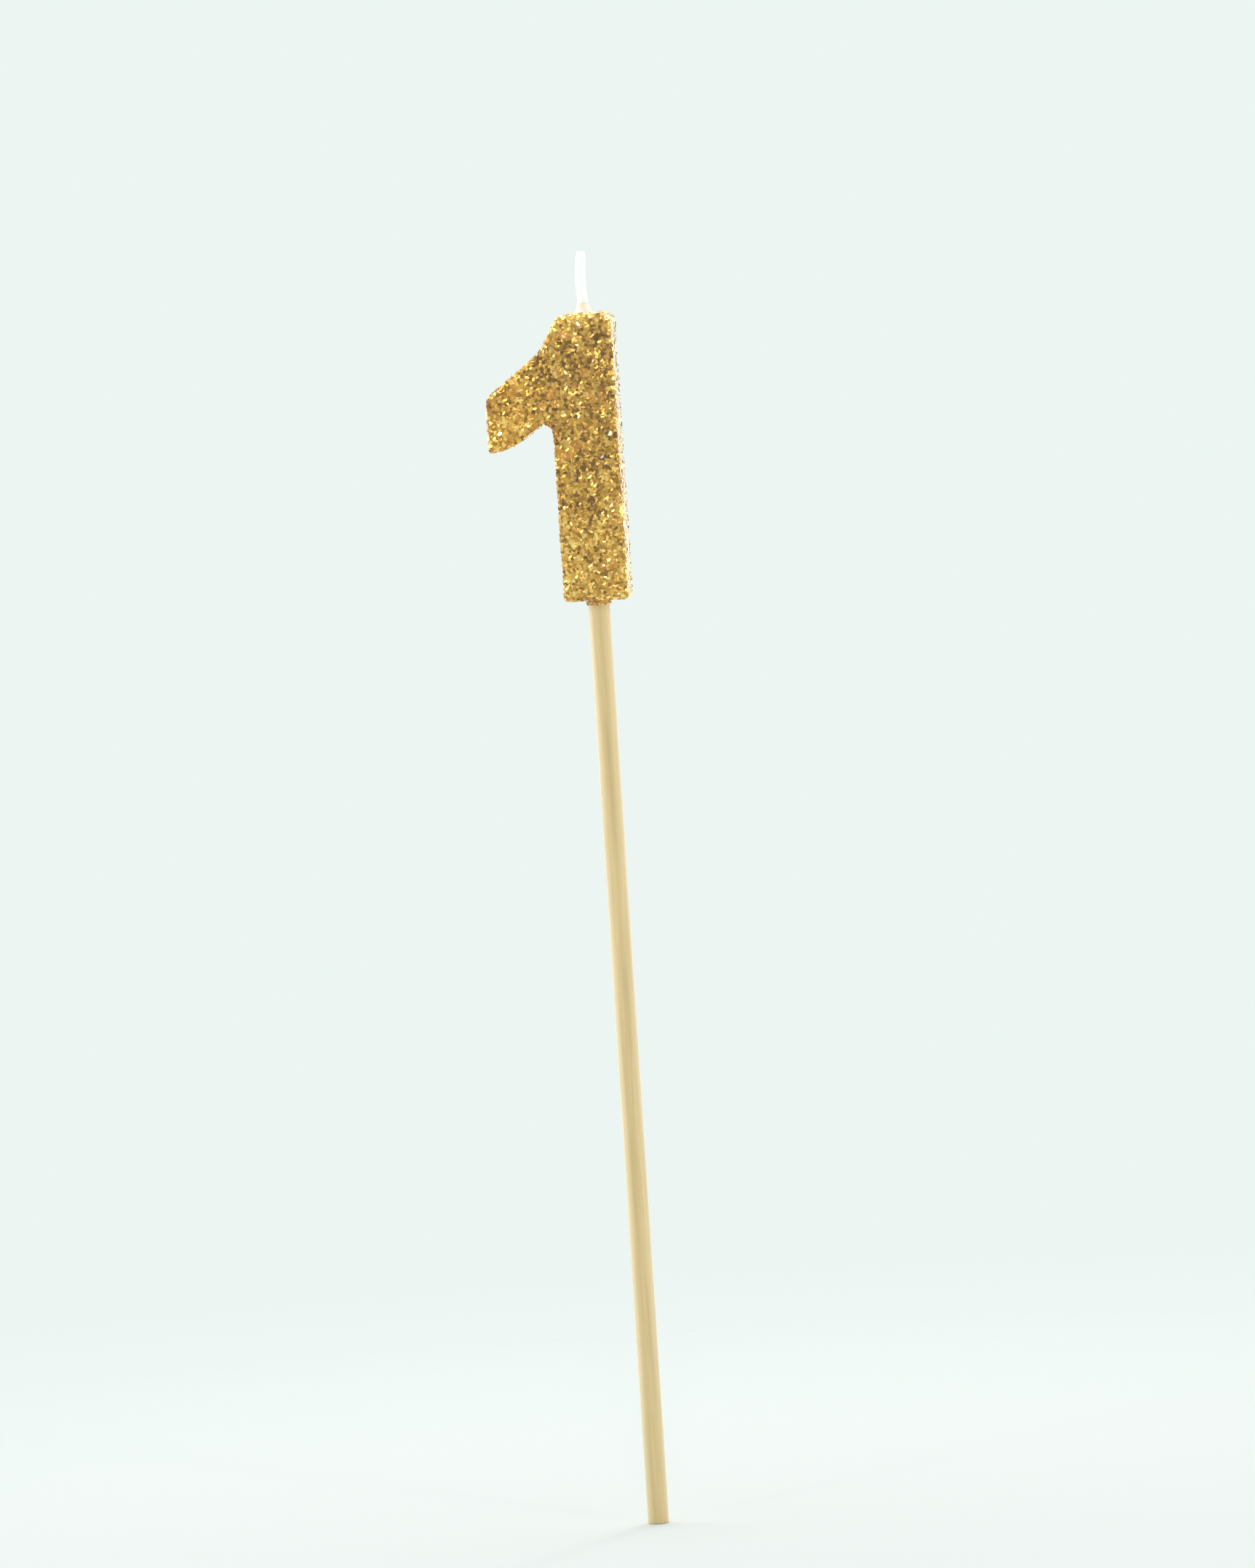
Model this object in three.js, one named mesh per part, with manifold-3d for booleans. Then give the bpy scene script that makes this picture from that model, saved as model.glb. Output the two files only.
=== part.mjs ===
// A number candle: a wax "1" in a coat of gold glitter, on a long wooden stick, with a cotton wick.
// Millimetres, +Z up. The origin is the centre of the stick's foot, and the numeral's front faces -Y.

import * as THREE from "three";
import { mergeVertices } from "three/addons/utils/BufferGeometryUtils.js";
import Module from "manifold-3d";

// The stick is a stock round one, and its upper end is cast into the wax.
const stickDiameter = 3;
const stickLength = 150;
const stickInWax = 22;
const stickEdgeBreak = 0.25;

// The numeral, measured over its coat. Drops are measured down from its crowned top, reaches to
// the left of its stem, and the belly of the flag's underside is measured from the flag's tip.
const numeralHeight = 39.9;
const numeralDepth = 7.5;
const stemWidth = 9.2;
const topWidth = 7.6;
const crownRise = 0.25;
const crookReach = 1.3;
const crookDrop = 5.2;
const flagReach = 9.1;
const shoulderDrop = 11.1;
const tipDrop = 19;
const bellyFromTip = 3.1;
const bellyRise = 0.4;
const rootDrop = 14.4;

// Corner radii of that outline, and the least straight left between two of them.
const leastStraight = 0.1;
const footRadius = 0.55;
const topRadius = 1.6;
const crownRadius = 8;
const crookRadius = 6;
const shoulderRadius = 2.4;
const tipRadius = 0.55;
const bellyRadius = 7;
const rootRadius = 1.3;

// The coat is glitter set in lacquer, and a collar of it runs a little way down the stick.
const coatThickness = 0.5;
const coatEdgeRadius = 0.5;
const collarHeight = 1;
const collarWall = 0.4;
const collarLip = 0.2;

// The wick stands in a small rise of bare wax, a little to the right of the stick's axis.
const wickDiameter = 1.5;
const wickExposed = 8.5;
const wickOffset = 0.45;
const wickSway = 0.12;
const waxUnderWick = 2;
const riseHeight = 0.9;
const riseWall = 0.5;
const riseLip = 0.25;

// The free space kept between two pieces that touch on the real candle.
const clearance = 0.3;

// How finely round shapes are faceted.
const roundSegments = 40;
const wickSides = 16;
const wickSteps = 24;
const cornerSteps = 6;
const edgeSteps = 4;

const stickRadius = stickDiameter / 2;
const wickRadius = wickDiameter / 2;
const socketRadius = stickRadius + clearance;
const channelRadius = wickRadius + clearance;
const riseRadius = channelRadius + riseWall;
const waxInset = coatThickness + clearance;
const numeralBase = stickLength - stickInWax;
const wickFoot = stickInWax + waxUnderWick;
const riseTop = numeralHeight + riseHeight;
const wickTop = numeralHeight + wickExposed;

const wasm = await Module();
wasm.setup();

function solidFrom(geometry) {
  const bare = geometry.clone();
  bare.deleteAttribute("normal");
  bare.deleteAttribute("uv");
  const merged = mergeVertices(bare);
  return new wasm.Manifold(
    new wasm.Mesh({
      numProp: 3,
      vertProperties: merged.getAttribute("position").array,
      triVerts: new Uint32Array(merged.index.array),
    }),
  );
}

function geometryFrom(solid) {
  const { vertProperties, triVerts } = solid.getMesh();
  const geometry = new THREE.BufferGeometry();
  geometry.setAttribute("position", new THREE.BufferAttribute(vertProperties, 3));
  geometry.setIndex(new THREE.BufferAttribute(triVerts, 1));
  return geometry.toNonIndexed();
}

// A body of revolution about +Z, from [radius, height] pairs that start and end on the axis.
function turned(profile) {
  const points = profile.map(([radius, height]) => new THREE.Vector2(radius, height));
  return new THREE.LatheGeometry(points, roundSegments).rotateX(Math.PI / 2);
}

function rod(radius, low, high) {
  return turned([[0, low], [radius, low], [radius, high], [0, high]]);
}

// The numeral's corners and their radii, anticlockwise from the left of its foot, seen from the front.
function outlineCorners() {
  const right = stemWidth / 2;
  const left = -right;
  const corner = (x, y, radius) => ({ at: new THREE.Vector2(x, y), radius });
  return [
    corner(left, 0, footRadius),
    corner(right, 0, footRadius),
    corner(right, numeralHeight - crownRise, topRadius),
    corner(wickOffset, numeralHeight, crownRadius),
    corner(right - topWidth, numeralHeight - crownRise, topRadius),
    corner(left - crookReach, numeralHeight - crookDrop, crookRadius),
    corner(left - flagReach, numeralHeight - shoulderDrop, shoulderRadius),
    corner(left - flagReach, numeralHeight - tipDrop, tipRadius),
    corner(left - flagReach + bellyFromTip, numeralHeight - tipDrop + bellyRise, bellyRadius),
    corner(left, numeralHeight - rootDrop, rootRadius),
  ];
}

// Where two lines cross, each given by a point and a direction.
function crossing(from, along, other, otherAlong) {
  const reach = other.clone().sub(from).cross(otherAlong) / along.cross(otherAlong);
  return from.clone().addScaledVector(along, reach);
}

// The arc that rounds a corner, or the corner itself where no radius is left.
function roundedCorner({ at, along, turn }, radius) {
  if (radius <= 0) return [at];
  const start = at.clone().addScaledVector(along, -radius * Math.tan(Math.abs(turn) / 2));
  const inward = new THREE.Vector2(-along.y, along.x).multiplyScalar(Math.sign(turn));
  const centre = start.clone().addScaledVector(inward, radius);
  return Array.from({ length: cornerSteps + 1 }, (_, step) =>
    start.clone().rotateAround(centre, (turn * step) / cornerSteps),
  );
}

// The numeral's outline, taken in by inset on every side. Outer corners tighten, inner ones open,
// and two roundings that meet on a side too short for both of them share it.
function numeralShape(inset) {
  const corners = outlineCorners();
  const count = corners.length;
  const sides = corners.map(({ at }, index) => {
    const along = corners[(index + 1) % count].at.clone().sub(at).normalize();
    const inward = new THREE.Vector2(-along.y, along.x);
    return { from: at.clone().addScaledVector(inward, inset), along };
  });
  const rounded = corners.map((corner, index) => {
    const { from, along } = sides[(index + count - 1) % count];
    const after = sides[index];
    const turn = Math.atan2(along.cross(after.along), along.dot(after.along));
    const radius = Math.max(corner.radius - Math.sign(turn) * inset, 0);
    const reach = radius * Math.tan(Math.abs(turn) / 2);
    return { at: crossing(from, along, after.from, after.along), along, turn, radius, reach };
  });
  const rooms = rounded.map(({ at, reach }, index) => {
    const next = rounded[(index + 1) % count];
    return (at.distanceTo(next.at) - leastStraight) / (reach + next.reach);
  });
  const points = rounded.flatMap((corner, index) => {
    const share = Math.min(1, rooms[index], rooms[(index + count - 1) % count]);
    return roundedCorner(corner, corner.radius * Math.max(share, 0));
  });
  return new THREE.Shape(points);
}

// The numeral as a slab in the XZ plane, taken in by inset all over, with its edges rounded to match.
function numeralSlab(inset) {
  const edgeRadius = Math.max(coatEdgeRadius - inset, 0);
  const depth = numeralDepth - 2 * inset - 2 * edgeRadius;
  const slab = new THREE.ExtrudeGeometry(numeralShape(inset + edgeRadius), {
    depth,
    steps: 1,
    bevelEnabled: edgeRadius > 0,
    bevelThickness: edgeRadius,
    bevelSize: edgeRadius,
    bevelSegments: edgeSteps,
  });
  return slab.translate(0, 0, -depth / 2).rotateX(Math.PI / 2);
}

// The bare wax that stands up round the wick, through the hole in the coat.
function waxRise() {
  const root = numeralHeight - waxInset - riseHeight;
  const rise = turned([
    [0, root],
    [riseRadius, root],
    [riseRadius, numeralHeight],
    [channelRadius + riseLip, riseTop],
    [0, riseTop],
  ]);
  return rise.translate(wickOffset, 0, 0);
}

// The glitter that runs down the stick, narrowing to a thin lip.
function stickCollar() {
  return turned([
    [0, -collarHeight],
    [socketRadius + collarLip, -collarHeight],
    [socketRadius + collarWall, 0],
    [socketRadius + collarWall, coatThickness],
    [0, coatThickness],
  ]);
}

function stickGeometry() {
  return turned([
    [0, 0],
    [stickRadius - stickEdgeBreak, 0],
    [stickRadius, stickEdgeBreak],
    [stickRadius, stickLength - stickEdgeBreak],
    [stickRadius - stickEdgeBreak, stickLength],
    [0, stickLength],
  ]);
}

function waxGeometry() {
  const body = solidFrom(numeralSlab(waxInset)).add(solidFrom(waxRise()));
  const socket = rod(socketRadius, -clearance, stickInWax + clearance);
  const channel = rod(channelRadius, wickFoot - clearance, wickTop).translate(wickOffset, 0, 0);
  return geometryFrom(body.subtract(solidFrom(socket)).subtract(solidFrom(channel)));
}

function coatGeometry() {
  const outside = solidFrom(numeralSlab(0)).add(solidFrom(stickCollar()));
  const inside = solidFrom(numeralSlab(coatThickness));
  const stickHole = rod(socketRadius, -2 * collarHeight, waxInset);
  const wickHole = rod(riseRadius + clearance, numeralHeight - waxInset, wickTop).translate(wickOffset, 0, 0);
  return geometryFrom(outside.subtract(inside).subtract(solidFrom(stickHole)).subtract(solidFrom(wickHole)));
}

// The wick runs straight up through the wax and sways a little where it is free.
function wickGeometry() {
  const free = wickTop - riseTop;
  const point = (sway, height) => new THREE.Vector3(wickOffset + sway, 0, height);
  const route = new THREE.CatmullRomCurve3([
    point(0, wickFoot),
    point(0, (wickFoot + riseTop) / 2),
    point(0, riseTop),
    point(-wickSway, riseTop + free * 0.45),
    point(wickSway, wickTop),
  ]);
  const section = new THREE.Shape().absarc(0, 0, wickRadius, 0, 2 * Math.PI);
  return new THREE.ExtrudeGeometry(section, {
    steps: wickSteps,
    curveSegments: wickSides,
    extrudePath: route,
    bevelEnabled: false,
  });
}

function piece(name, geometry, finish) {
  const mesh = new THREE.Mesh(geometry, new THREE.MeshStandardMaterial(finish));
  mesh.name = name;
  return mesh;
}

const numeral = new THREE.Group();
numeral.position.z = numeralBase;
numeral.add(
  piece("wax_numeral", waxGeometry(), { color: 0xf4efe2, roughness: 0.5, metalness: 0 }),
  piece("glitter_coat", coatGeometry(), { color: 0xc39b4e, roughness: 0.35, metalness: 0.9 }),
  piece("wick", wickGeometry(), { color: 0xfbfbf8, roughness: 0.6, metalness: 0 }),
);

const candle = new THREE.Group();
candle.add(
  piece("stick", stickGeometry(), { color: 0xd8bd86, roughness: 0.65, metalness: 0 }),
  numeral,
);

export default candle;
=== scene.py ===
import math

import bmesh
import bpy
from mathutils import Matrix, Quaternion, Vector


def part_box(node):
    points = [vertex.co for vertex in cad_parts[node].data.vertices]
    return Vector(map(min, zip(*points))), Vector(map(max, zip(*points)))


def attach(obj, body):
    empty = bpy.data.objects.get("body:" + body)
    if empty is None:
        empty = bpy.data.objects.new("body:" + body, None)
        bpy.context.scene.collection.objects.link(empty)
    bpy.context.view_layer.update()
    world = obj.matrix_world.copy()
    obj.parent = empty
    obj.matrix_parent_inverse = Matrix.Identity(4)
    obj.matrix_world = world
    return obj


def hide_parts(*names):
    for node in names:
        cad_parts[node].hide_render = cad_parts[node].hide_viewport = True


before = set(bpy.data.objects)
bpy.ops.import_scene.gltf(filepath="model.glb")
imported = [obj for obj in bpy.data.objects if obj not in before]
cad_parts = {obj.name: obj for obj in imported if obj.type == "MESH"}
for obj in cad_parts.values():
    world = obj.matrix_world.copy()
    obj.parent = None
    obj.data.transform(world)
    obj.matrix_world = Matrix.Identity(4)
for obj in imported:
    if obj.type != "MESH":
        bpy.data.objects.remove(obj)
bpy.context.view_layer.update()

# A number candle: a wax one under gold glitter, on a round wooden stick, with a waxed cotton wick.
# Metres, +Z up. The numeral's front faces -Y and its flag points to -X.
mm = 0.001
nearby = 0.01 * mm  # how far apart two places may be and still count as one
past = 1 * mm  # how far a cutter reaches beyond what it cuts
alongAxis = 0.9  # a face looks along an axis where its normal's share of it is above this
stickLow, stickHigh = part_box("stick")
coatLow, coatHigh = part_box("glitter_coat")
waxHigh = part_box("wax_numeral")[1]
wickLow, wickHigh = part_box("wick")
wickAxis = (wickLow.x + wickHigh.x) / 2
wickRadius = (wickHigh.y - wickLow.y) / 2


# Selecting, editing and finishing.

def onlySelect(*pieces):
    if bpy.context.object and bpy.context.object.mode != "OBJECT":
        bpy.ops.object.mode_set(mode="OBJECT")
    bpy.ops.object.select_all(action="DESELECT")
    for piece in pieces:
        piece.select_set(True)
        bpy.context.view_layer.objects.active = piece


def startEdit(piece):
    onlySelect(piece)
    bpy.ops.object.mode_set(mode="EDIT")
    bpy.ops.mesh.select_all(action="DESELECT")


def endEdit():
    bpy.ops.object.mode_set(mode="OBJECT")


# Selects the vertices, edges or faces that pass the test, in the mesh being edited.
def pick(piece, kind, test):
    bpy.ops.mesh.select_mode(type=kind)
    bpy.ops.mesh.select_all(action="DESELECT")
    mesh = bmesh.from_edit_mesh(piece.data)
    parts = {"VERT": mesh.verts, "EDGE": mesh.edges, "FACE": mesh.faces}[kind]
    for part in parts:
        if test(part):
            part.select_set(True)
    bmesh.update_edit_mesh(piece.data)


def climbsOver(edge, height):
    return abs(edge.verts[0].co.z - edge.verts[1].co.z) > height


# Names the primitive that was just added and puts its place into its mesh.
def named(name):
    piece = bpy.context.object
    piece.name = name
    piece.data.name = name
    bpy.ops.object.transform_apply(location=True, rotation=True, scale=True)
    return piece


def applyModifier(piece, kind, **settings):
    onlySelect(piece)
    modifier = piece.modifiers.new(kind.lower(), kind)
    for setting, value in settings.items():
        setattr(modifier, setting, value)
    bpy.ops.object.modifier_apply(modifier=modifier.name)


def duplicate(piece, name):
    copy = piece.copy()
    copy.data = piece.data.copy()
    copy.name = name
    copy.data.name = name
    bpy.context.collection.objects.link(copy)
    return copy


def join(pieces, name):
    onlySelect(*pieces)
    bpy.ops.object.join()
    return named(name)


# Cuts a round hole along Z, with its axis at x, from low to high.
def cutRound(piece, x, radius, low, high):
    onlySelect()
    bpy.ops.mesh.primitive_cylinder_add(
        vertices=64, radius=radius, depth=high - low, location=(x, 0, (low + high) / 2))
    cutter = named("cutter")
    applyModifier(piece, "BOOLEAN", operation="DIFFERENCE", solver="EXACT", object=cutter)
    bpy.data.objects.remove(cutter)


# Gives a piece its material and its body, and hides the imported node that it stands in for.
def dress(piece, material, node):
    piece.data.materials.clear()
    piece.data.materials.append(material)
    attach(piece, "root")
    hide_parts(node)


# Adding nodes.

# An input is a value or the socket that feeds it.
def addNode(tree, kind, inputs=None, **settings):
    made = tree.nodes.new(kind)
    for setting, value in settings.items():
        setattr(made, setting, value)
    for name, value in (inputs or {}).items():
        if isinstance(value, bpy.types.NodeSocket):
            tree.links.new(value, made.inputs[name])
        else:
            made.inputs[name].default_value = value
    return made


# A node group with its named sockets, given as (name, kind) pairs.
def addGroup(name, kind, inputs, outputs):
    group = bpy.data.node_groups.new(name, kind)
    for label, socket in inputs:
        group.interface.new_socket(label, in_out="INPUT", socket_type=socket)
    for label, socket in outputs:
        group.interface.new_socket(label, in_out="OUTPUT", socket_type=socket)
    return group, group.nodes.new("NodeGroupInput"), group.nodes.new("NodeGroupOutput")


# Carries a value from the range start to end over to the range low to high.
def mapRange(tree, value, start, end, low=0.0, high=1.0, soft=False):
    made = addNode(tree, "ShaderNodeMapRange", {
        "Value": value, "From Min": start, "From Max": end, "To Min": low, "To Max": high},
        interpolation_type="SMOOTHSTEP" if soft else "LINEAR")
    return made.outputs["Result"]


def calculate(tree, operation, *values):
    return addNode(tree, "ShaderNodeMath", dict(enumerate(values)), operation=operation).outputs[0]


def scaled(tree, vector, scale):
    return addNode(tree, "ShaderNodeVectorMath", {0: vector, "Scale": scale}, operation="SCALE").outputs[0]


def summed(tree, first, second):
    return addNode(tree, "ShaderNodeVectorMath", {0: first, 1: second}, operation="ADD").outputs[0]


def addNoise(tree, place, scale, detail, roughness=0.5):
    made = addNode(tree, "ShaderNodeTexNoise", {
        "Vector": place, "Scale": scale, "Detail": detail, "Roughness": roughness})
    return made.outputs[0]


def mixColours(tree, share, first, second, blend="MIX"):
    made = addNode(tree, "ShaderNodeMix", {0: share, 6: first, 7: second}, data_type="RGBA", blend_type=blend)
    return made.outputs[2]


# Colours along a value, from (position, colour) pairs.
def addRamp(tree, value, stops):
    made = addNode(tree, "ShaderNodeValToRGB", {0: value})
    elements = made.color_ramp.elements
    while len(elements) < len(stops):
        elements.new(1)
    for element, (position, colour) in zip(elements, stops):
        element.position = position
        element.color = (*colour, 1)
    return made.outputs["Color"]


# A material with plain values on its shader, its node tree, its shader and its Object coordinates.
def newMaterial(name, plain):
    material = bpy.data.materials.new(name)
    material.use_nodes = True
    tree = material.node_tree
    shader = tree.nodes["Principled BSDF"]
    for socket, value in plain.items():
        shader.inputs[socket].default_value = value
    return material, tree, shader, addNode(tree, "ShaderNodeTexCoord").outputs["Object"]


def addBump(tree, shader, height, distance):
    bump = addNode(tree, "ShaderNodeBump", {"Height": height, "Distance": distance, "Strength": 1.0})
    tree.links.new(bump.outputs["Normal"], shader.inputs["Normal"])


# The view, the light and the floor.

camera = {
    "yaw": 5.7, "elevation": 4.0, "lean": 3.71,  # degrees
    "distance": 1.6,
    "aimRight": 2.307 * mm, "aimUp": -25.46 * mm,  # from the numeral's base, across the view
    "viewHeight": 215.6 * mm, "sensor": 36,
}


def addCamera():
    yaw, elevation = math.radians(camera["yaw"]), math.radians(camera["elevation"])
    right = Vector((math.cos(yaw), math.sin(yaw), 0))
    towards = Vector((math.sin(yaw) * math.cos(elevation), -math.cos(yaw) * math.cos(elevation),
                      math.sin(elevation)))
    up = towards.cross(right)
    base = Vector((0, 0, numeral["base"]))
    aim = base + right * camera["aimRight"] + up * camera["aimUp"]
    bpy.ops.object.camera_add(location=aim + towards * camera["distance"])
    viewer = bpy.context.object
    viewer.rotation_mode = "QUATERNION"
    roll = Quaternion((0, 0, 1), math.radians(-camera["lean"]))
    viewer.rotation_quaternion = towards.to_track_quat("Z", "Y") @ roll
    viewer.data.sensor_width = camera["sensor"]
    viewer.data.lens = camera["sensor"] * camera["distance"] / camera["viewHeight"]
    bpy.context.scene.camera = viewer
    print("camera done")


studio = {
    "backdrop": (0.838, 0.913, 0.888),
    "skyTint": (0.97, 1.0, 1.0),
    "frontLevel": 0.66, "backLevel": 0.45,  # how bright the sky is before and behind the candle
    "skyFront": -1.0, "skyBack": 0.6,  # between which it passes from one to the other, along Y
    "lampTint": (0.94, 1.0, 0.84),
    "floor": (0.78, 0.82, 0.80), "floorRoughness": 0.9, "floorSides": 96,
    "floorRadius": 0.32, "floorSolid": 0.05,  # it fades away between the two
}

# Lamps: where they stand, seen from the numeral, their side in metres and their brightness.
# Cards show only in shiny surfaces and fills only light matte ones.
lamps = {
    "leftSoftbox": {"at": (-1.1, 0.8, 0.3), "side": 1.1, "level": 2.2},
    "rightSoftbox": {"at": (1.1, 0.9, 0.3), "side": 1.1, "level": 1.4},
    "topSoftbox": {"at": (0.0, 0.8, 1.2), "side": 1.1, "level": 2.2},
    "backSoftbox": {"at": (0.1, 1.5, 0.0), "side": 1.4, "level": 0.72, "tinted": True},
    "upperLeftCard": {"at": (-0.75, -0.25, 0.95), "side": 1.8, "level": 2.5, "tinted": True, "matte": False},
    "upperCard": {"at": (0.35, -0.1, 1.3), "side": 1.4, "level": 2.1, "tinted": True, "matte": False},
    "rightCard": {"at": (1.2, -0.5, 0.2), "side": 1.1, "level": 1.6, "tinted": True, "matte": False},
    "leftFill": {"at": (-1.3, -0.2, -0.3), "side": 1.1, "level": 3.1, "shiny": False},
    "rightFill": {"at": (1.3, -0.2, -0.3), "side": 1.1, "level": 2.3, "shiny": False},
    "leftSpark": {"at": (-0.8, -1.2, 0.5), "side": 0.12, "level": 40},
    "rightSpark": {"at": (0.9, -1.1, 0.7), "side": 0.12, "level": 40},
    "frontSpark": {"at": (0.15, -1.4, 0.95), "side": 0.12, "level": 40},
    "backSpark": {"at": (0.5, 1.3, 0.7), "side": 0.12, "level": 40},
}


# The pale backdrop is only for the camera and for what is seen in shiny or clear surfaces.
def addWorld():
    world = bpy.data.worlds.new("studio")
    bpy.context.scene.world = world
    world.use_nodes = True
    tree = world.node_tree
    tree.nodes.clear()
    direction = addNode(tree, "ShaderNodeTexCoord").outputs["Generated"]
    split = addNode(tree, "ShaderNodeSeparateXYZ", {0: direction})
    level = mapRange(tree, split.outputs["Y"], studio["skyFront"], studio["skyBack"],
                     studio["frontLevel"], studio["backLevel"], soft=True)
    sky = addNode(tree, "ShaderNodeBackground", {"Color": (*studio["skyTint"], 1), "Strength": level})
    backdrop = addNode(tree, "ShaderNodeBackground", {"Color": (*studio["backdrop"], 1), "Strength": 1.0})
    rays = addNode(tree, "ShaderNodeLightPath").outputs
    mirrored = calculate(tree, "MAXIMUM", rays["Is Glossy Ray"], rays["Is Transmission Ray"])
    seen = calculate(tree, "MAXIMUM", rays["Is Camera Ray"], mirrored)
    mixed = addNode(tree, "ShaderNodeMixShader", {0: seen, 1: sky.outputs[0], 2: backdrop.outputs[0]})
    addNode(tree, "ShaderNodeOutputWorld", {"Surface": mixed.outputs[0]})


def lightStudio():
    addWorld()
    target = Vector((0, 0, (numeral["base"] + numeral["top"]) / 2))
    for name, lamp in lamps.items():
        place = target + Vector(lamp["at"])
        bpy.ops.object.light_add(type="AREA", location=place)
        light = bpy.context.object
        light.name = name
        light.rotation_euler = Vector(lamp["at"]).to_track_quat("Z", "Y").to_euler()
        light.data.shape = "SQUARE"
        light.data.size = lamp["side"]
        light.data.energy = lamp["level"] * math.pi * lamp["side"] ** 2
        light.data.color = studio["lampTint"] if lamp.get("tinted") else (1, 1, 1)
        light.visible_camera = False
        light.visible_diffuse = lamp.get("matte", True)
        light.visible_glossy = lamp.get("shiny", True)
    bpy.context.scene.view_settings.view_transform = "Standard"
    print("light done")


def addFloor():
    onlySelect()
    bpy.ops.mesh.primitive_circle_add(
        vertices=studio["floorSides"], radius=studio["floorRadius"], fill_type="NGON")
    floor = named("floor")
    material, tree, shader, place = newMaterial("pale_floor", {
        "Base Color": (*studio["floor"], 1), "Roughness": studio["floorRoughness"],
        "Specular IOR Level": 0.0})
    reach = addNode(tree, "ShaderNodeVectorMath", {0: place}, operation="LENGTH").outputs["Value"]
    fade = mapRange(tree, reach, studio["floorSolid"], studio["floorRadius"], 1.0, 0.0, soft=True)
    tree.links.new(fade, shader.inputs["Alpha"])
    floor.data.materials.append(material)
    print("floor done")


# Effects that several materials share.

glitter = {
    "tones": [
        (0.00, (0.155, 0.072, 0.010)),
        (0.16, (0.30, 0.145, 0.017)),
        (0.47, (0.53, 0.281, 0.036)),
        (0.76, (0.71, 0.415, 0.086)),
        (0.92, (0.91, 0.58, 0.14)),
        (1.00, (0.97, 0.70, 0.215)),
    ],
    "dullest": 0.48, "shiniest": 0.18,  # roughness of the darkest and of the brightest flakes
    "surface": {"Metallic": 1.0, "Coat Weight": 1.0, "Coat Roughness": 0.2},
    # How far the tone shifts over the numeral: in patches of 3 to 4 mm, on the flag, which is brightest low
    # down, and up the stem.
    # Beside the right edge and at the top it is a painted highlight, and at the foot a painted reflection of
    # the bright floor.
    "patch": 260, "patchRoughness": 0.75, "patchFrom": 0.3, "patchTo": 0.7, "patchDepth": 0.18,
    "flagStart": -2.0 * mm, "flagEnd": -9.5 * mm, "flagLift": 0.24,
    "flagHigh": 9.5 * mm, "flagLow": 16 * mm, "flagHighShare": 0.38,
    "sideStart": 2.4 * mm, "sideEnd": 4.3 * mm, "sidePaintedHighlight": 0.07,
    "stemSpan": 22 * mm, "stemLift": 0.05, "upperDip": 0.14,
    "footSpan": 3.0 * mm, "footPaintedReflection": 0.10,
    "topSpan": 4.2 * mm, "topPaintedHighlight": 0.22,
    # The flag is tinted a little, and there are rare spots of a redder gold.
    "flagTint": (1.0, 0.93, 0.74),
    "spot": 420, "spotFrom": 0.62, "spotTo": 0.70, "spotDepth": 0.5, "spotTone": (0.70, 0.31, 0.055),
}


# Gold tones for a flake of a given Tone, drifting slowly over the numeral, with painted highlights at the top
# and by the right edge and a painted reflection of the floor at the foot.
def buildGlitterGold():
    group, given, result = addGroup(
        "glitterGold", "ShaderNodeTree",
        [("Tone", "NodeSocketFloat"), ("Place", "NodeSocketVector")],
        [("Color", "NodeSocketColor"), ("Roughness", "NodeSocketFloat")])
    place = given.outputs["Place"]
    split = addNode(group, "ShaderNodeSeparateXYZ", {0: place})
    across, height = split.outputs["X"], split.outputs["Z"]
    base, top = numeral["base"], numeral["top"]
    patch = addNoise(group, place, glitter["patch"], 3.0, glitter["patchRoughness"])
    flagReach = mapRange(group, across, glitter["flagStart"], glitter["flagEnd"], soft=True)
    flagDrop = mapRange(group, height, top - glitter["flagHigh"], top - glitter["flagLow"],
                        glitter["flagHighShare"], 1.0, soft=True)
    flagShare = calculate(group, "MULTIPLY", flagReach, flagDrop)
    shifts = [
        mapRange(group, patch, glitter["patchFrom"], glitter["patchTo"],
                 -glitter["patchDepth"], glitter["patchDepth"]),
        mapRange(group, height, base, base + glitter["stemSpan"], glitter["stemLift"], -glitter["upperDip"]),
        # Painted reflection of the bright floor: the foot's tone is raised.
        mapRange(group, height, base, base + glitter["footSpan"], glitter["footPaintedReflection"], 0.0, soft=True),
        # Painted highlight along the top, as if lit from above: the tone is raised there.
        mapRange(group, height, top - glitter["topSpan"], top, 0.0, glitter["topPaintedHighlight"], soft=True),
        # Painted highlight beside the right edge, as if lit from the right: the tone is raised there.
        mapRange(group, across, glitter["sideStart"], glitter["sideEnd"],
                 0.0, glitter["sidePaintedHighlight"], soft=True),
        mapRange(group, flagShare, 0.0, 1.0, 0.0, glitter["flagLift"]),
    ]
    tone = given.outputs["Tone"]
    for shift in shifts:
        tone = calculate(group, "ADD", tone, shift)
    gold = addRamp(group, tone, glitter["tones"])
    spot = addNoise(group, place, glitter["spot"], 1.0)
    spotShare = mapRange(group, spot, glitter["spotFrom"], glitter["spotTo"], 0.0, glitter["spotDepth"])
    spotted = mixColours(group, spotShare, gold, (*glitter["spotTone"], 1))
    tinted = mixColours(group, flagReach, spotted, (*glitter["flagTint"], 1), blend="MULTIPLY")
    rough = mapRange(group, given.outputs["Tone"], 0.0, 1.0, glitter["dullest"], glitter["shiniest"])
    group.links.new(tinted, result.inputs["Color"])
    group.links.new(rough, result.inputs["Roughness"])
    return group


def addGlitterGold(tree, shader, place, tone):
    gold = addNode(tree, "ShaderNodeGroup", {"Tone": tone, "Place": place}, node_tree=glitterGold)
    tree.links.new(gold.outputs["Color"], shader.inputs["Base Color"])
    tree.links.new(gold.outputs["Roughness"], shader.inputs["Roughness"])


mottle = {"broadShare": 0.6, "from": 0.35, "to": 0.65}


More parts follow.
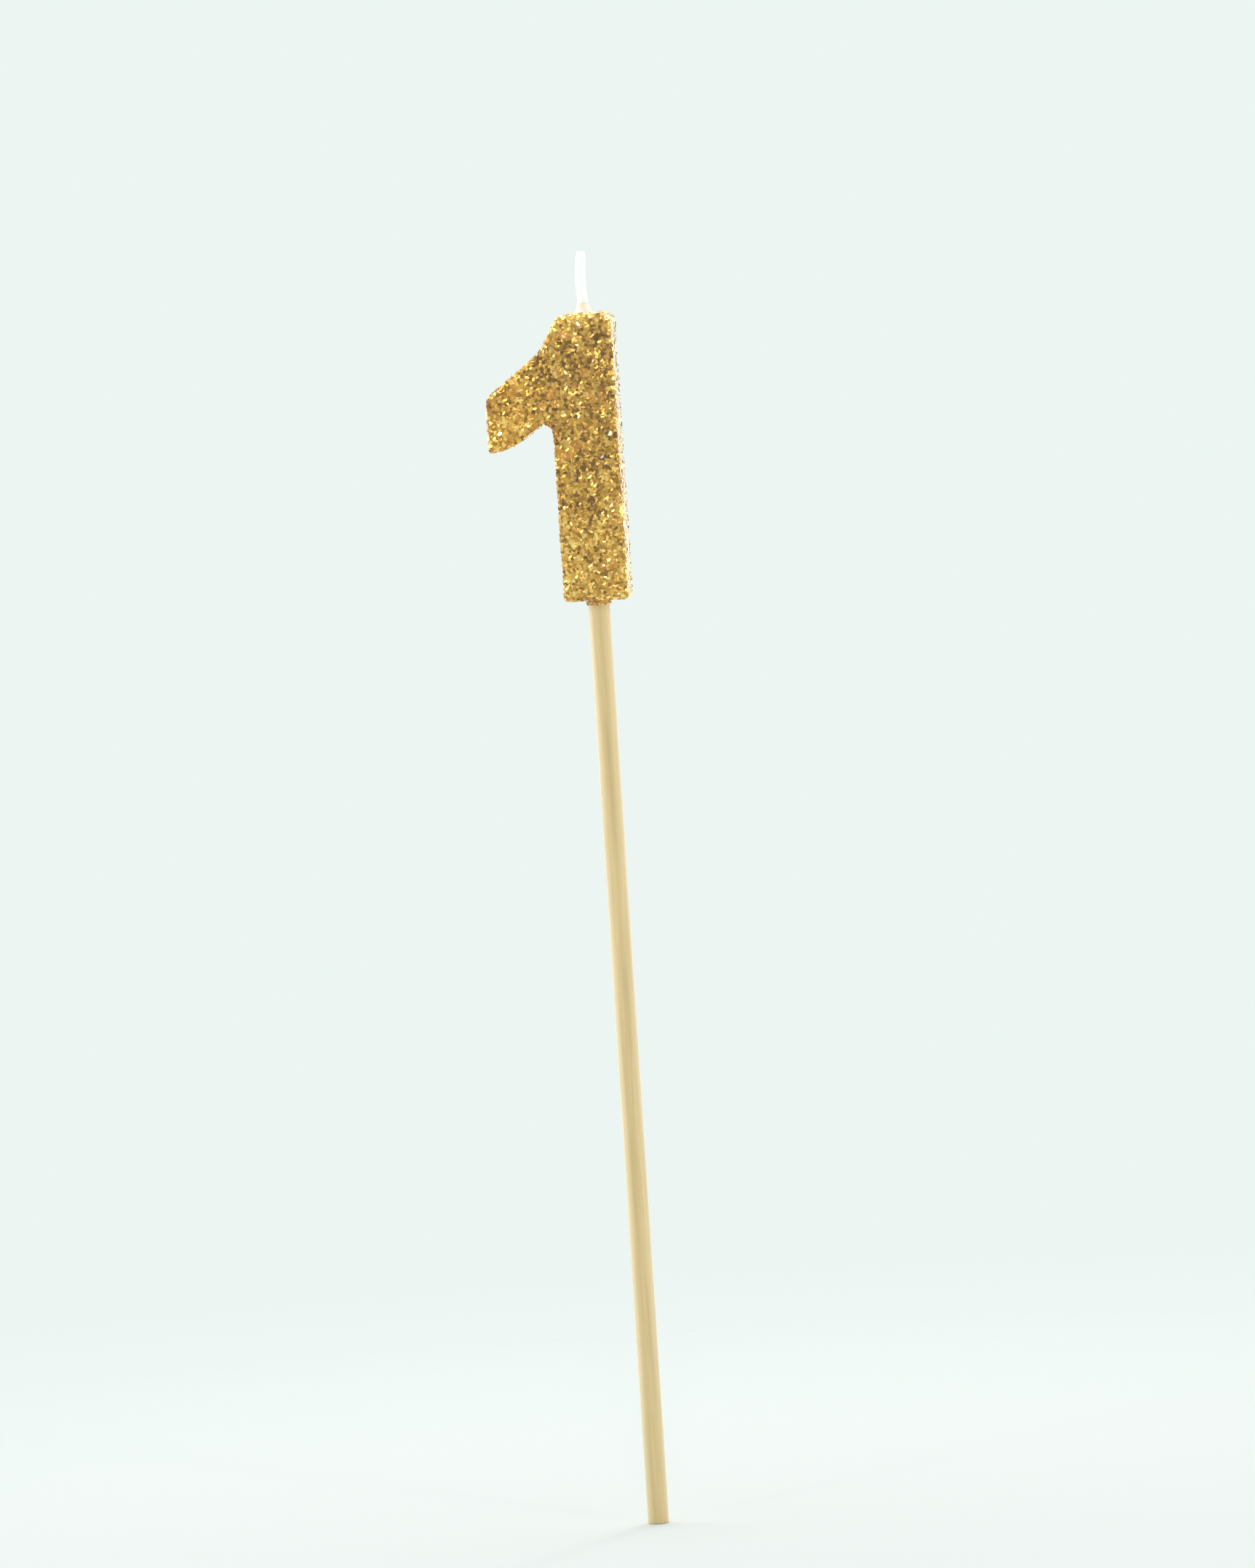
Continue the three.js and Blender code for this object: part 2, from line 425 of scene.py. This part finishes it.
# Fine uneven stuff, such as wax or cotton: two sizes of mottling mixed between two colours.
def buildFineMottle():
    group, given, result = addGroup(
        "fineMottle", "ShaderNodeTree",
        [("Place", "NodeSocketVector"), ("Fine", "NodeSocketFloat"), ("Broad", "NodeSocketFloat"),
         ("Light", "NodeSocketColor"), ("Dark", "NodeSocketColor")],
        [("Color", "NodeSocketColor"), ("Height", "NodeSocketFloat")])
    place = given.outputs["Place"]
    fine = addNoise(group, place, given.outputs["Fine"], 3.0)
    broad = addNoise(group, place, given.outputs["Broad"], 2.0)
    both = addNode(group, "ShaderNodeMix", {
        "Factor": mottle["broadShare"], "A": fine, "B": broad}, data_type="FLOAT").outputs[0]
    height = mapRange(group, both, mottle["from"], mottle["to"])
    colour = mixColours(group, height, given.outputs["Dark"], given.outputs["Light"])
    group.links.new(colour, result.inputs["Color"])
    group.links.new(height, result.inputs["Height"])
    return group


def addMottle(tree, shader, place, look, depth):
    made = addNode(tree, "ShaderNodeGroup", {"Place": place, **look}, node_tree=fineMottle)
    tree.links.new(made.outputs["Color"], shader.inputs["Base Color"])
    addBump(tree, shader, made.outputs["Height"], depth)


# The numeral's outline, shared by the coat and the wax.

numeral = {
    "base": coatLow.z + 1.0 * mm,  # the coat's collar hangs below it
    "top": coatHigh.z,
    "stemLeft": -coatHigh.x, "stemRight": coatHigh.x, "flagLeft": coatLow.x,
    "halfDepth": coatHigh.y - 0.07 * mm,  # flakes that stand up take the rest
    "topWidth": 7.6 * mm, "crownRise": 0.25 * mm, "crookReach": 1.3 * mm, "crookDrop": 5.2 * mm,
    "shoulderDrop": 11.1 * mm, "tipDrop": 19.0 * mm, "bellyReach": 6.0 * mm, "bellyDrop": 18.6 * mm,
    "rootDrop": 14.4 * mm,
    "footRadius": 0.55 * mm, "topRadius": 1.6 * mm, "crownRadius": 8.0 * mm, "crookRadius": 6.0 * mm,
    "shoulderRadius": 2.4 * mm, "tipRadius": 0.55 * mm, "bellyRadius": 7.0 * mm, "rootRadius": 1.3 * mm,
    "rimRadius": 0.5 * mm, "leastCorner": 0.25 * mm, "leastRim": 0.1 * mm, "roundSteps": 7,
}


# Each corner's name, its place seen from the front and its radius, anticlockwise from the foot's left.
def outlineCorners():
    left, right, flag = numeral["stemLeft"], numeral["stemRight"], numeral["flagLeft"]
    base, top = numeral["base"], numeral["top"]
    return [
        ("footLeft", Vector((left, base)), numeral["footRadius"]),
        ("footRight", Vector((right, base)), numeral["footRadius"]),
        ("topRight", Vector((right, top - numeral["crownRise"])), numeral["topRadius"]),
        ("crown", Vector((wickAxis, top)), numeral["crownRadius"]),
        ("topLeft", Vector((right - numeral["topWidth"], top - numeral["crownRise"])), numeral["topRadius"]),
        ("crook", Vector((left - numeral["crookReach"], top - numeral["crookDrop"])), numeral["crookRadius"]),
        ("shoulder", Vector((flag, top - numeral["shoulderDrop"])), numeral["shoulderRadius"]),
        ("tip", Vector((flag, top - numeral["tipDrop"])), numeral["tipRadius"]),
        ("belly", Vector((left - numeral["bellyReach"], top - numeral["bellyDrop"])), numeral["bellyRadius"]),
        ("root", Vector((left, top - numeral["rootDrop"])), numeral["rootRadius"]),
    ]


# Where each corner lies when the outline is taken in, and how far its bevel reaches along the sides.
def insetOutline(inset):
    corners = outlineCorners()
    places, reaches = {}, {}
    for index, (name, at, radius) in enumerate(corners):
        before = (at - corners[index - 1][1]).normalized()
        after = (corners[(index + 1) % len(corners)][1] - at).normalized()
        inward = Vector((-before.y, before.x)) + Vector((-after.y, after.x))
        places[name] = at + inward * inset / (1 + before.dot(after))
        isOuter = before.x * after.y - before.y * after.x > 0
        kept = radius - inset if isOuter else radius + inset
        reaches[name] = max(kept, numeral["leastCorner"]) * math.tan(math.acos(before.dot(after)) / 2)
    return places, reaches


# The one as a rounded block, taken in by inset: a block for the stem, with the flag pulled out of its side.
def numeralBlock(name, inset):
    places, reaches = insetOutline(inset)
    halfDepth = numeral["halfDepth"] - inset
    left, right = places["footLeft"].x, places["footRight"].x
    base, top = places["footRight"].y, places["crown"].y
    flag, root, crook = places["tip"].x, places["root"].y, places["crook"].y
    onlySelect()
    bpy.ops.mesh.primitive_cube_add(
        size=1, location=((left + right) / 2, 0, (base + top) / 2),
        scale=(right - left, 2 * halfDepth, top - base))
    piece = named(name)
    startEdit(piece)
    for height in (root, crook):
        bpy.ops.mesh.select_all(action="SELECT")
        bpy.ops.mesh.bisect(plane_co=(0, 0, height), plane_no=(0, 0, 1))
    pick(piece, "FACE", lambda face: (
        face.normal.x < -alongAxis and root < face.calc_center_median().z < crook))
    bpy.ops.mesh.extrude_region_move(TRANSFORM_OT_translate={"value": (flag - left, 0, 0)})

    def isAt(vertex, x, z):
        return abs(vertex.co.x - x) < nearby and abs(vertex.co.z - z) < nearby

    # One more corner in the middle of the top, and one under the flag.
    for start, end, height in ((left, right, top), (flag, left, root)):
        pick(piece, "EDGE", lambda edge: all(
            any(isAt(vertex, x, height) for vertex in edge.verts) for x in (start, end)))
        bpy.ops.mesh.subdivide(number_cuts=1)
    pulls = {
        "topLeft": (left, top), "crown": ((left + right) / 2, top), "topRight": (right, top),
        "crook": (left, crook), "shoulder": (flag, crook), "tip": (flag, root),
        "belly": ((flag + left) / 2, root),
    }
    for corner, (x, z) in pulls.items():
        pick(piece, "VERT", lambda vertex: isAt(vertex, x, z))
        bpy.ops.transform.translate(value=(places[corner].x - x, 0, places[corner].y - z))
    bpy.ops.mesh.select_all(action="SELECT")
    bpy.ops.mesh.dissolve_limited(angle_limit=math.radians(1))
    for corner, place in places.items():
        pick(piece, "EDGE", lambda edge: all(isAt(vertex, place.x, place.y) for vertex in edge.verts))
        bpy.ops.mesh.bevel(offset_type="OFFSET", offset=reaches[corner], segments=numeral["roundSteps"],
                           affect="EDGES")

    def isRim(edge):
        shares = sorted(abs(face.normal.y) for face in edge.link_faces)
        return shares[0] < 1 - alongAxis and shares[-1] > alongAxis

    pick(piece, "EDGE", isRim)
    bpy.ops.mesh.bevel(offset_type="OFFSET", offset=max(numeral["rimRadius"] - inset, numeral["leastRim"]),
                       segments=numeral["roundSteps"], affect="EDGES")
    endEdit()
    return piece


# The coat: a thin shell of lacquer, under loose-laid flakes of glitter.

coat = {
    "room": 0.17 * mm,  # kept for the flakes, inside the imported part's outside
    "wall": 0.32 * mm,
    "voxel": 0.20 * mm, "softening": 14,
    "lumps": 0.08 * mm, "lumpSize": 2.6 * mm,
    "collarTop": 1.84 * mm, "collarLip": 1.68 * mm, "collarDrop": 0.7 * mm, "collarRoot": 0.5 * mm,
    "collarSides": 64,
    "stickHole": 1.52 * mm, "wickHole": 1.42 * mm, "holeDepth": 1.5 * mm,
    "holeSlack": 1.001,  # a face within this share of a hole's radius is its wall
    "grain": 3600.0, "grainTone": 0.6, "grainBump": 0.05 * mm,
}


# The coat's outside, open where the stick and the wick pass through it.
def makeSkin():
    skin = numeralBlock("glitter_skin", coat["room"])
    startEdit(skin)
    lip, root = numeral["base"] - coat["collarDrop"], numeral["base"] + coat["collarRoot"]
    bpy.ops.mesh.primitive_cone_add(
        vertices=coat["collarSides"], radius1=coat["collarLip"], radius2=coat["collarTop"], depth=root - lip,
        location=(0, 0, (lip + root) / 2))
    endEdit()
    applyModifier(skin, "REMESH", mode="VOXEL", voxel_size=coat["voxel"])
    applyModifier(skin, "SMOOTH", factor=0.5, iterations=coat["softening"])
    lumps = bpy.data.textures.new("lumps", "CLOUDS")
    lumps.noise_scale = coat["lumpSize"]
    lumps.noise_depth = 1
    applyModifier(skin, "DISPLACE", texture=lumps, strength=coat["lumps"], mid_level=1.0)

    topCut, footCut = numeral["top"] - coat["holeDepth"], numeral["base"] + coat["holeDepth"]
    cutRound(skin, wickAxis, coat["wickHole"], topCut, numeral["top"] + past)
    cutRound(skin, 0, coat["stickHole"], coatLow.z - past, footCut)

    def isBore(face):
        middle = face.calc_center_median()
        fromWick = math.hypot(middle.x - wickAxis, middle.y)
        fromStick = math.hypot(middle.x, middle.y)
        isTop = fromWick < coat["wickHole"] * coat["holeSlack"] and middle.z > topCut - nearby
        isFoot = fromStick < coat["stickHole"] * coat["holeSlack"] and middle.z < footCut + nearby
        return isTop or isFoot

    startEdit(skin)
    pick(skin, "FACE", isBore)
    bpy.ops.mesh.delete(type="FACE")
    endEdit()
    return skin


def makeCoat(skin):
    shell = duplicate(skin, "glitter_coat_shell")
    applyModifier(shell, "SOLIDIFY", thickness=coat["wall"], offset=-1.0, use_even_offset=True)
    onlySelect(shell)
    bpy.ops.object.shade_smooth()
    material, tree, shader, place = newMaterial("glitter_lacquer", glitter["surface"])
    grains = addNode(tree, "ShaderNodeTexVoronoi", {"Vector": place, "Scale": coat["grain"]})
    split = addNode(tree, "ShaderNodeSeparateColor", {0: grains.outputs["Color"]})
    tone = mapRange(tree, split.outputs[0], 0.0, 1.0, 0.0, coat["grainTone"])
    addGlitterGold(tree, shader, place, tone)
    addBump(tree, shader, grains.outputs["Distance"], coat["grainBump"])
    dress(shell, material, "glitter_coat")
    print("coat done", len(shell.data.polygons))


flakes = {
    "sides": 6, "across": 0.58 * mm, "thick": 0.03 * mm,
    "spacing": 0.31 * mm, "tries": 5e7,  # least distance between two, and points tried per square metre
    "lift": (0.0, 0.02 * mm), "scale": (0.7, 1.25), "tiltShare": (0.15, 1.0),
    "cells": 100,  # each flake has a cell of its own on the map, in rows of this many
    "capShare": 0.42, "footShare": 0.25,  # how much of the cell its two caps take
    "seed": 11,
    # Each piece covers the faces that lean towards -Y by so much, and its flakes tilt by up to tilt degrees.
    "zones": {
        "front_flakes": {"leanFrom": 0.85, "leanTo": 2.0, "tilt": 30},
        "edge_flakes": {"leanFrom": -0.85, "leanTo": 0.85, "tilt": 12},
        "back_flakes": {"leanFrom": -2.0, "leanTo": -0.85, "tilt": 30},
    },
}


# One flake: a thin hexagon whose caps and sides each have a place in their cell of the map.
def makeFlakeShape():
    onlySelect()
    bpy.ops.mesh.primitive_cylinder_add(
        vertices=flakes["sides"], radius=flakes["across"] / 2, depth=flakes["thick"])
    flake = named("flake")
    maps = flake.data.uv_layers
    maps.new(name="OFBake")
    maps.remove(maps["UVMap"])
    cell = maps["OFBake"]
    for loop in flake.data.loops:
        corner = flake.data.vertices[loop.vertex_index].co
        share = flakes["capShare"] if corner.z > 0 else flakes["footShare"]
        cell.data[loop.index].uv = corner.xy / (flakes["across"] / 2) * share
    return flake


# A random number or vector for each flake.
def addRandom(group, low, high, seed):
    isVector = isinstance(low, tuple)
    first = 0 if isVector else 2
    made = addNode(group, "FunctionNodeRandomValue", {first: low, first + 1: high, "Seed": seed},
                   data_type="FLOAT_VECTOR" if isVector else "FLOAT")
    return made.outputs[0 if isVector else 1]


def readAttribute(group, name, kind):
    return addNode(group, "GeometryNodeInputNamedAttribute", {"Name": name}, data_type=kind).outputs[0]


def storeAttribute(group, geometry, name, value, kind, domain):
    made = addNode(group, "GeometryNodeStoreNamedAttribute", {
        "Geometry": geometry, "Name": name, "Value": value}, data_type=kind, domain=domain)
    return made.outputs[0]


# Scatters flakes over the faces whose normal leans towards -Y by an amount between two limits.
def buildScatter(flake):
    group, given, result = addGroup(
        "glitterScatter", "GeometryNodeTree",
        [("Surface", "NodeSocketGeometry"), ("Lean From", "NodeSocketFloat"), ("Lean To", "NodeSocketFloat"),
         ("Tilt", "NodeSocketFloat"), ("Seed", "NodeSocketInt")],
        [("Flakes", "NodeSocketGeometry")])
    normal = addNode(group, "GeometryNodeInputNormal").outputs[0]
    split = addNode(group, "ShaderNodeSeparateXYZ", {0: normal})
    lean = calculate(group, "MULTIPLY", split.outputs["Y"], -1.0)
    above = addNode(group, "FunctionNodeCompare", {
        0: lean, 1: given.outputs["Lean From"]}, operation="GREATER_EQUAL")
    below = addNode(group, "FunctionNodeCompare", {
        0: lean, 1: given.outputs["Lean To"]}, operation="LESS_THAN")
    chosen = addNode(group, "FunctionNodeBooleanMath", {
        0: above.outputs[0], 1: below.outputs[0]}, operation="AND")
    points = addNode(group, "GeometryNodeDistributePointsOnFaces", {
        "Mesh": given.outputs["Surface"], "Selection": chosen.outputs[0], "Distance Min": flakes["spacing"],
        "Density Max": flakes["tries"], "Seed": given.outputs["Seed"]}, distribute_method="POISSON")
    lift = addRandom(group, *flakes["lift"], seed=1)
    placed = addNode(group, "GeometryNodeSetPosition", {
        "Geometry": points.outputs["Points"], "Offset": scaled(group, points.outputs["Normal"], lift)})
    tone = addRandom(group, 0.0, 1.0, seed=2)
    toned = storeAttribute(group, placed.outputs[0], "flakeTone", tone, "FLOAT", "POINT")
    number = addNode(group, "GeometryNodeInputIndex").outputs[0]
    numbered = storeAttribute(group, toned, "flakeCell", number, "INT", "POINT")

    # Most flakes lie nearly flat and a few stand up: two random shares of the tilt, multiplied.
    swing = addRandom(group, (-1, -1, 0), (1, 1, 0), seed=3)
    tiltShare = addRandom(group, *flakes["tiltShare"], seed=4)
    leaning = scaled(group, swing, calculate(group, "MULTIPLY", tiltShare, given.outputs["Tilt"]))
    spin = addRandom(group, (0, 0, 0), (0, 0, math.tau), seed=5)
    rotation = addNode(group, "FunctionNodeRotateRotation", {
        "Rotation": points.outputs["Rotation"], "Rotate By": summed(group, leaning, spin)},
        rotation_space="LOCAL")
    size = addRandom(group, *flakes["scale"], seed=6)
    shape = addNode(group, "GeometryNodeObjectInfo", {"Object": flake})
    laid = addNode(group, "GeometryNodeInstanceOnPoints", {
        "Points": numbered, "Instance": shape.outputs["Geometry"],
        "Rotation": rotation.outputs[0], "Scale": size})
    real = addNode(group, "GeometryNodeRealizeInstances", {0: laid.outputs[0]}).outputs[0]

    # Each flake's map is moved to its own cell.
    rowLength = float(flakes["cells"])
    cell = readAttribute(group, "flakeCell", "INT")
    column = calculate(group, "MODULO", cell, rowLength)
    row = calculate(group, "FLOOR", calculate(group, "DIVIDE", cell, rowLength))
    corner = addNode(group, "ShaderNodeCombineXYZ", {0: column, 1: row}).outputs[0]
    middle = summed(group, corner, (0.5, 0.5, 0))
    moved = summed(group, middle, readAttribute(group, "OFBake", "FLOAT_VECTOR"))
    mapped = scaled(group, moved, 1 / flakes["cells"])
    finished = storeAttribute(group, real, "OFBake", mapped, "FLOAT2", "CORNER")
    cleared = addNode(group, "GeometryNodeRemoveAttribute", {"Geometry": finished, "Name": "flakeCell"})
    group.links.new(cleared.outputs[0], result.inputs[0])
    return group


def makeFlakeMaterial():
    material, tree, shader, place = newMaterial("glitter_flakes", glitter["surface"])
    tone = addNode(tree, "ShaderNodeAttribute", attribute_name="flakeTone")
    addGlitterGold(tree, shader, place, tone.outputs["Fac"])
    return material


def makeFlakes(skin):
    flake = makeFlakeShape()
    scatter = buildScatter(flake)
    sockets = {item.name: item.identifier for item in scatter.interface.items_tree}
    material = makeFlakeMaterial()
    for index, (name, zone) in enumerate(flakes["zones"].items()):
        piece = duplicate(skin, name)
        onlySelect(piece)
        modifier = piece.modifiers.new("scatter", "NODES")
        modifier.node_group = scatter
        modifier[sockets["Lean From"]] = zone["leanFrom"]
        modifier[sockets["Lean To"]] = zone["leanTo"]
        modifier[sockets["Tilt"]] = math.radians(zone["tilt"])
        modifier[sockets["Seed"]] = flakes["seed"] + index
        bpy.ops.object.modifier_apply(modifier=modifier.name)
        dress(piece, material, "glitter_coat")
        print(name, "done", len(piece.data.polygons) // (flakes["sides"] + 2))
    bpy.data.objects.remove(flake)
    bpy.data.objects.remove(skin)


# The wax: the same outline, further in, with a low fillet of bare wax round the wick's foot.

wax = {
    "inset": 0.66 * mm, "smoothAngle": 35,
    "filletFoot": 1.38 * mm, "filletLip": 0.80 * mm, "filletSides": 64, "filletSteps": 12,
    "filletStart": 0.35 * mm, "filletRoot": 1.2 * mm,  # below the numeral's top
    "filletSweep": 2.4,  # the higher, the sooner it narrows
    "surface": {"Roughness": 0.42, "Coat Weight": 0.1},
    "look": {"Fine": 3000.0, "Broad": 700.0, "Light": (0.93, 0.90, 0.79, 1), "Dark": (0.90, 0.85, 0.71, 1)},
    "bump": 0.02 * mm,
}


def makeWax():
    body = numeralBlock("wax_body", wax["inset"])
    onlySelect()
    low, high = numeral["top"] - wax["filletRoot"], waxHigh.z
    start = numeral["top"] - wax["filletStart"]
    bpy.ops.mesh.primitive_cylinder_add(
        vertices=wax["filletSides"], radius=wax["filletFoot"], depth=start - low,
        location=(wickAxis, 0, (low + start) / 2))
    fillet = named("fillet")
    startEdit(fillet)
    pick(fillet, "FACE", lambda face: face.normal.z > alongAxis)
    steps, width = wax["filletSteps"], wax["filletFoot"]
    for step in range(1, steps + 1):
        share = step / steps
        wanted = (wax["filletLip"]
                  + (wax["filletFoot"] - wax["filletLip"]) * (1 - share) ** wax["filletSweep"])
        bpy.ops.mesh.extrude_region_move(TRANSFORM_OT_translate={"value": (0, 0, (high - start) / steps)})
        bpy.ops.transform.resize(value=(wanted / width, wanted / width, 1),
                                 center_override=(wickAxis, 0, start + (high - start) * share))
        width = wanted
    endEdit()
    applyModifier(body, "BOOLEAN", operation="UNION", solver="EXACT", object=fillet)
    bpy.data.objects.remove(fillet)
    cutRound(body, wickAxis, wickRadius, wickLow.z, wickHigh.z)
    cutRound(body, 0, stickHigh.x, numeral["base"] - past, stickHigh.z)
    onlySelect(body)
    bpy.ops.object.shade_smooth_by_angle(angle=math.radians(wax["smoothAngle"]))
    material, tree, shader, place = newMaterial("candle_wax", wax["surface"])
    addMottle(tree, shader, place, wax["look"], wax["bump"])
    dress(body, material, "wax_numeral")
    print("wax done")


# The wick: eight strands braided round a core, soaked in white wax.

wick = {
    "strands": 4, "strand": 0.21 * mm, "strandSides": 10, "strandCuts": 120,  # so many wind each way
    "ring": 0.53 * mm, "pitch": 5.2 * mm, "core": 0.68 * mm, "coreSides": 32,
    "voxel": 0.06 * mm, "softening": 5,
    "footGap": 0.1 * mm, "tip": 0.45 * mm, "tipShare": 0.78, "tipRound": 0.7 * mm,  # the tip narrows
    "bare": waxHigh.z, "sway": 0.12 * mm, "swayAt": 0.45, "swaySpread": 0.55,  # shares of its free length
    "surface": {"Roughness": 0.5, "Subsurface Weight": 0.9, "Subsurface Radius": (1.0, 1.0, 1.0),
                "Subsurface Scale": 0.9 * mm},
    "look": {"Fine": 3000.0, "Broad": 900.0,
             "Light": (0.875, 0.925, 0.91, 1), "Dark": (0.84, 0.89, 0.875, 1)},
    "bump": 0.006 * mm,
}


# Strands that wind round the wick's axis, one way or the other.
def woundStrands(hand, low, high):
    strands = []
    for index in range(wick["strands"]):
        angle = math.tau * index / wick["strands"]
        onlySelect()
        bpy.ops.mesh.primitive_cylinder_add(
            vertices=wick["strandSides"], radius=wick["strand"], depth=high - low,
            location=(wick["ring"] * math.cos(angle), wick["ring"] * math.sin(angle), (low + high) / 2))
        strands.append(named("strand"))
    bundle = join(strands, "bundle")
    startEdit(bundle)
    pick(bundle, "EDGE", lambda edge: climbsOver(edge, (high - low) / 2))
    bpy.ops.mesh.subdivide(number_cuts=wick["strandCuts"])
    endEdit()
    turns = (high - low) / wick["pitch"]
    applyModifier(bundle, "SIMPLE_DEFORM", deform_method="TWIST", deform_axis="Z",
                  angle=hand * math.tau * turns)
    return bundle


def makeWick():
    low, high = wickLow.z + wick["footGap"], wickHigh.z - wick["tip"]
    onlySelect()
    bpy.ops.mesh.primitive_cylinder_add(
        vertices=wick["coreSides"], radius=wick["core"], depth=high - low, location=(0, 0, (low + high) / 2))
    core = named("core")
    body = join([woundStrands(1, low, high), woundStrands(-1, low, high), core], "waxed_wick")
    applyModifier(body, "REMESH", mode="VOXEL", voxel_size=wick["voxel"])
    applyModifier(body, "SMOOTH", factor=0.5, iterations=wick["softening"])
    startEdit(body)
    bpy.ops.mesh.select_all(action="SELECT")
    bpy.ops.transform.translate(value=(wickAxis, 0, 0))
    free = high - wick["bare"]
    for share, move in ((wick["swayAt"], -wick["sway"]), (1.0, wick["sway"])):
        at = wick["bare"] + free * share
        pick(body, "VERT", lambda vertex: abs(vertex.co.z - at) < 2 * wick["voxel"])
        bpy.ops.transform.translate(
            value=(move, 0, 0), use_proportional_edit=True, proportional_edit_falloff="SMOOTH",
            proportional_size=free * wick["swaySpread"])
    pick(body, "VERT", lambda vertex: vertex.co.z > high - wick["voxel"])
    bpy.ops.transform.resize(
        value=(wick["tipShare"], wick["tipShare"], 1), center_override=(wickAxis + wick["sway"], 0, high),
        use_proportional_edit=True, proportional_edit_falloff="SPHERE", proportional_size=wick["tipRound"])
    endEdit()
    onlySelect(body)
    bpy.ops.object.shade_smooth()
    material, tree, shader, place = newMaterial("waxed_cotton", wick["surface"])
    addMottle(tree, shader, place, wick["look"], wick["bump"])
    dress(body, material, "wick")
    print("wick done", len(body.data.polygons))


# The stick: a turned birch dowel, sawn square at its foot.

stick = {
    "sides": 64, "rings": 75, "edgeBreak": 0.25 * mm, "edgeSteps": 3, "smoothAngle": 40,
    "unevenness": 0.04 * mm, "unevenSize": 6 * mm,
    "surface": {"Roughness": 0.5, "Sheen Weight": 1.0, "Sheen Roughness": 0.7,
                "Sheen Tint": (1.0, 0.96, 0.78, 1)},
    "grain": 1600.0, "grainRoughness": 0.6, "grainStretch": 0.03,  # the grain runs along the stick
    "tones": [(0.30, (0.52, 0.365, 0.134)), (0.50, (0.60, 0.436, 0.172)), (0.72, (0.675, 0.502, 0.21))],
    "pores": 5200.0, "streakFrom": 0.62, "streakTo": 0.75, "streakDepth": 0.25,
    "streakTone": (0.38, 0.25, 0.10),
    "bump": 0.03 * mm,
}


def makeStick():
    onlySelect()
    bpy.ops.mesh.primitive_cylinder_add(
        vertices=stick["sides"], radius=stickHigh.x, depth=stickHigh.z - stickLow.z,
        location=(0, 0, (stickLow.z + stickHigh.z) / 2))
    dowel = named("birch_stick")
    startEdit(dowel)
    pick(dowel, "EDGE", lambda edge: any(abs(face.normal.z) > alongAxis for face in edge.link_faces))
    bpy.ops.mesh.bevel(offset=stick["edgeBreak"], segments=stick["edgeSteps"], affect="EDGES")
    pick(dowel, "EDGE", lambda edge: climbsOver(edge, stickHigh.z / 2))
    bpy.ops.mesh.subdivide(number_cuts=stick["rings"])
    endEdit()
    uneven = bpy.data.textures.new("uneven", "CLOUDS")
    uneven.noise_scale = stick["unevenSize"]
    applyModifier(dowel, "DISPLACE", texture=uneven, strength=stick["unevenness"], mid_level=1.0)
    onlySelect(dowel)
    bpy.ops.object.shade_smooth_by_angle(angle=math.radians(stick["smoothAngle"]))

    material, tree, shader, place = newMaterial("birch", stick["surface"])
    along = addNode(tree, "ShaderNodeMapping", {
        "Vector": place, "Scale": (1, 1, stick["grainStretch"])}).outputs[0]
    grain = addNoise(tree, along, stick["grain"], 4.0, stick["grainRoughness"])
    pores = addNoise(tree, along, stick["pores"], 2.0)
    wood = addRamp(tree, grain, stick["tones"])
    streak = mapRange(tree, pores, stick["streakFrom"], stick["streakTo"], 0.0, stick["streakDepth"])
    streaked = mixColours(tree, streak, wood, (*stick["streakTone"], 1))
    tree.links.new(streaked, shader.inputs["Base Color"])
    addBump(tree, shader, grain, stick["bump"])
    dress(dowel, material, "stick")
    print("stick done")


glitterGold = buildGlitterGold()
fineMottle = buildFineMottle()
addCamera()
lightStudio()
addFloor()
makeStick()
makeWax()
makeWick()
skin = makeSkin()
makeCoat(skin)
makeFlakes(skin)
